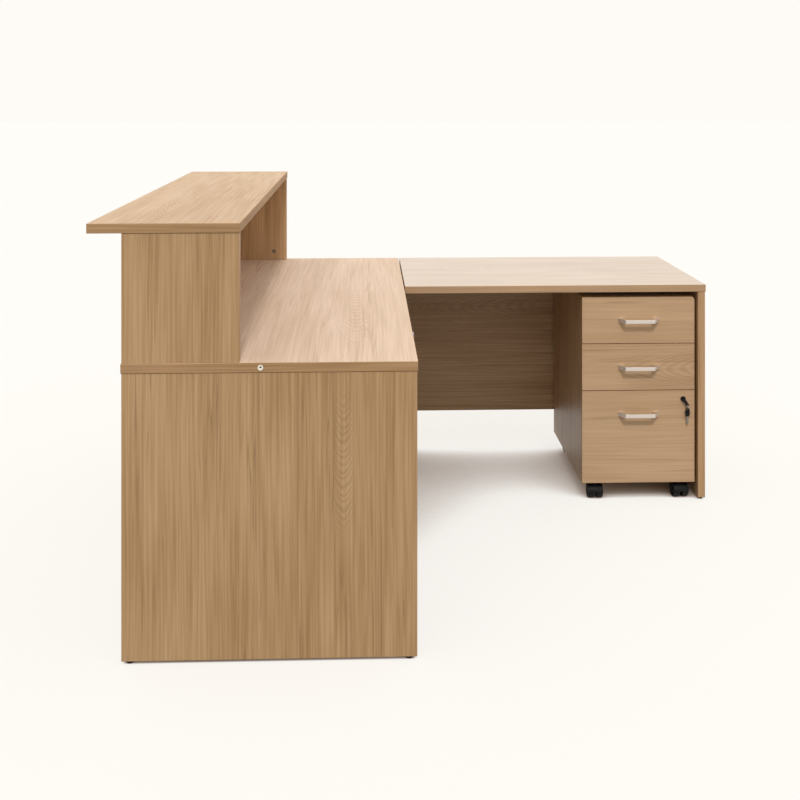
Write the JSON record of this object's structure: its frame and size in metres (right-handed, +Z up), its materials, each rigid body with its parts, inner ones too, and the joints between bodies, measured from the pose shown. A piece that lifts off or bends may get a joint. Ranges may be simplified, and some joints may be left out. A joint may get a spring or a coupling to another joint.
{
  "type": "l-shaped reception desk",
  "caption": "L-shaped reception desk in oak-look laminate: a main desk with a raised visitors' counter, a return, and a lockable mobile drawer pedestal on castors.",
  "frame": {"origin": "on the floor, in the middle of the desk's overall length and depth", "axes": "+X from the visitors' side to the outer end of the return, +Y from the main desk's near end to the return, +Z up"},
  "size_m": [1.899, 1.6, 1.11],
  "materials": {
    "top_laminate": "satin oak-look laminate",
    "panel_laminate": "satin oak-look laminate, upright grain",
    "pedestal_laminate": "satin oak-look laminate, upright grain",
    "drawer_laminate": "satin oak-look laminate, level grain",
    "tray_enamel": "smooth grey enamel on folded steel",
    "satin_nickel": "satin nickel plate",
    "zinc_steel": "bright zinc plate",
    "zinc_casting": "dull zinc casting",
    "runner_steel": "bright zinc plate",
    "rail_plastic": "matt black",
    "dowel_beech": "plain beech",
    "glide_plastic": "matt black",
    "insert_metal": "dull zinc plate",
    "lock_metal": "black lacquer",
    "key_plastic": "matt black",
    "ring_steel": "bright wire",
    "castor_plastic": "matt black",
    "castor_tread": "matt black"
  },
  "bodies": {
    "desk": {"desk_top": "top_laminate", "counter_top": "top_laminate", "return_top": "top_laminate", "desk_end_panel_near": "panel_laminate", "desk_end_panel_far": "panel_laminate", "desk_visitor_panel": "panel_laminate", "riser_end_panel_near": "panel_laminate", "riser_end_panel_far": "panel_laminate", "riser_visitor_panel": "panel_laminate", "return_end_panel": "panel_laminate", "return_modesty_panel": "panel_laminate", "cam_discs": "zinc_casting", "cam_bolts": "zinc_steel", "wood_dowels": "dowel_beech", "levelling_feet": "glide_plastic", "foot_inserts": "zinc_steel", "linking_insert": "insert_metal", "link_plates": "zinc_steel", "link_screws": "zinc_steel"},
    "pedestal": {"pedestal_side_left": "pedestal_laminate", "pedestal_side_right": "pedestal_laminate", "pedestal_top": "pedestal_laminate", "pedestal_bottom": "pedestal_laminate", "pedestal_back": "pedestal_laminate", "pedestal_fittings": "zinc_casting", "runner_outers": "runner_steel", "lock_strike": "zinc_steel", "castor_sockets": "zinc_steel"},
    "upper_drawer": {"upper_front": "drawer_laminate", "upper_tray": "tray_enamel", "upper_handle": "satin_nickel", "upper_handle_screws": "zinc_steel", "upper_runner_inners": "runner_steel"},
    "middle_drawer": {"middle_front": "drawer_laminate", "middle_tray": "tray_enamel", "middle_handle": "satin_nickel", "middle_handle_screws": "zinc_steel", "middle_runner_inners": "runner_steel"},
    "file_drawer": {"file_front": "drawer_laminate", "file_tray": "tray_enamel", "file_handle": "satin_nickel", "file_handle_screws": "zinc_steel", "file_runner_inners": "runner_steel", "file_rails": "rail_plastic", "lock_housing": "lock_metal"},
    "file_runner": {"file_runner_middles": "runner_steel"},
    "lock_core": {"lock_plug": "lock_metal", "lock_cam": "zinc_steel", "lock_key": "key_plastic"},
    "hanging_keys": {"key_ring": "ring_steel", "spare_key": "key_plastic"},
    "castor_front_left": {"castor_front_left_hood": "castor_plastic"},
    "wheels_front_left": {"castor_front_left_wheels": "castor_tread"},
    "castor_front_right": {"castor_front_right_hood": "castor_plastic"},
    "wheels_front_right": {"castor_front_right_wheels": "castor_tread"},
    "castor_back_left": {"castor_back_left_hood": "castor_plastic"},
    "wheels_back_left": {"castor_back_left_wheels": "castor_tread"},
    "castor_back_right": {"castor_back_right_hood": "castor_plastic"},
    "wheels_back_right": {"castor_back_right_wheels": "castor_tread"}
  },
  "joints": [
    {"name": "pedestal_roll", "type": "slide", "parent": "desk", "child": "pedestal", "axis": [0, -1, 0], "range_m": [0, 0.6]},
    {"name": "upper_drawer_slide", "type": "slide", "parent": "pedestal", "child": "upper_drawer", "axis": [0, -1, 0], "range_m": [0, 0.34]},
    {"name": "middle_drawer_slide", "type": "slide", "parent": "pedestal", "child": "middle_drawer", "axis": [0, -1, 0], "range_m": [0, 0.34]},
    {"name": "file_drawer_slide", "type": "slide", "parent": "pedestal", "child": "file_drawer", "axis": [0, -1, 0], "range_m": [0, 0.44]},
    {"name": "file_runner_slide", "type": "slide", "parent": "pedestal", "child": "file_runner", "axis": [0, -1, 0], "range_m": [0, 0.22]},
    {"name": "lock_turn", "type": "hinge", "parent": "file_drawer", "child": "lock_core", "pos_m": [0.8725, 0.203, 0.352], "axis": [0, 1, 0], "range_deg": [0, 90]},
    {"name": "keys_hang", "type": "hinge", "parent": "lock_core", "child": "hanging_keys", "pos_m": [0.88598, 0.19475, 0.33275], "axis": [0, 1, 0], "range_deg": [-90, 0]},
    {"name": "castor_front_left_swivel", "type": "hinge", "parent": "pedestal", "child": "castor_front_left", "pos_m": [0.5635, 0.248, 0.058], "axis": [0, 0, 1], "continuous": true},
    {"name": "wheels_front_left_spin", "type": "hinge", "parent": "castor_front_left", "child": "wheels_front_left", "pos_m": [0.5628, 0.22801, 0.022], "axis": [0.9994, -0.0349, 0], "continuous": true},
    {"name": "castor_front_right_swivel", "type": "hinge", "parent": "pedestal", "child": "castor_front_right", "pos_m": [0.8635, 0.248, 0.058], "axis": [0, 0, 1], "continuous": true},
    {"name": "wheels_front_right_spin", "type": "hinge", "parent": "castor_front_right", "child": "wheels_front_right", "pos_m": [0.86559, 0.22811, 0.022], "axis": [0.9945, 0.1045, 0], "continuous": true},
    {"name": "castor_back_left_swivel", "type": "hinge", "parent": "pedestal", "child": "castor_back_left", "pos_m": [0.5635, 0.708, 0.058], "axis": [0, 0, 1], "continuous": true},
    {"name": "wheels_back_left_spin", "type": "hinge", "parent": "castor_back_left", "child": "wheels_back_left", "pos_m": [0.56766, 0.68844, 0.022], "axis": [0.9781, 0.2079, 0], "continuous": true},
    {"name": "castor_back_right_swivel", "type": "hinge", "parent": "pedestal", "child": "castor_back_right", "pos_m": [0.8635, 0.708, 0.058], "axis": [0, 0, 1], "continuous": true},
    {"name": "wheels_back_right_spin", "type": "hinge", "parent": "castor_back_right", "child": "wheels_back_right", "pos_m": [0.85732, 0.68898, 0.022], "axis": [0.9511, -0.309, 0], "continuous": true}
  ],
  "couplings": [
    {"joint": "file_runner_slide", "follows": "file_drawer_slide", "ratio": 0.5},
    {"joint": "keys_hang", "follows": "lock_turn", "ratio": -1}
  ]
}
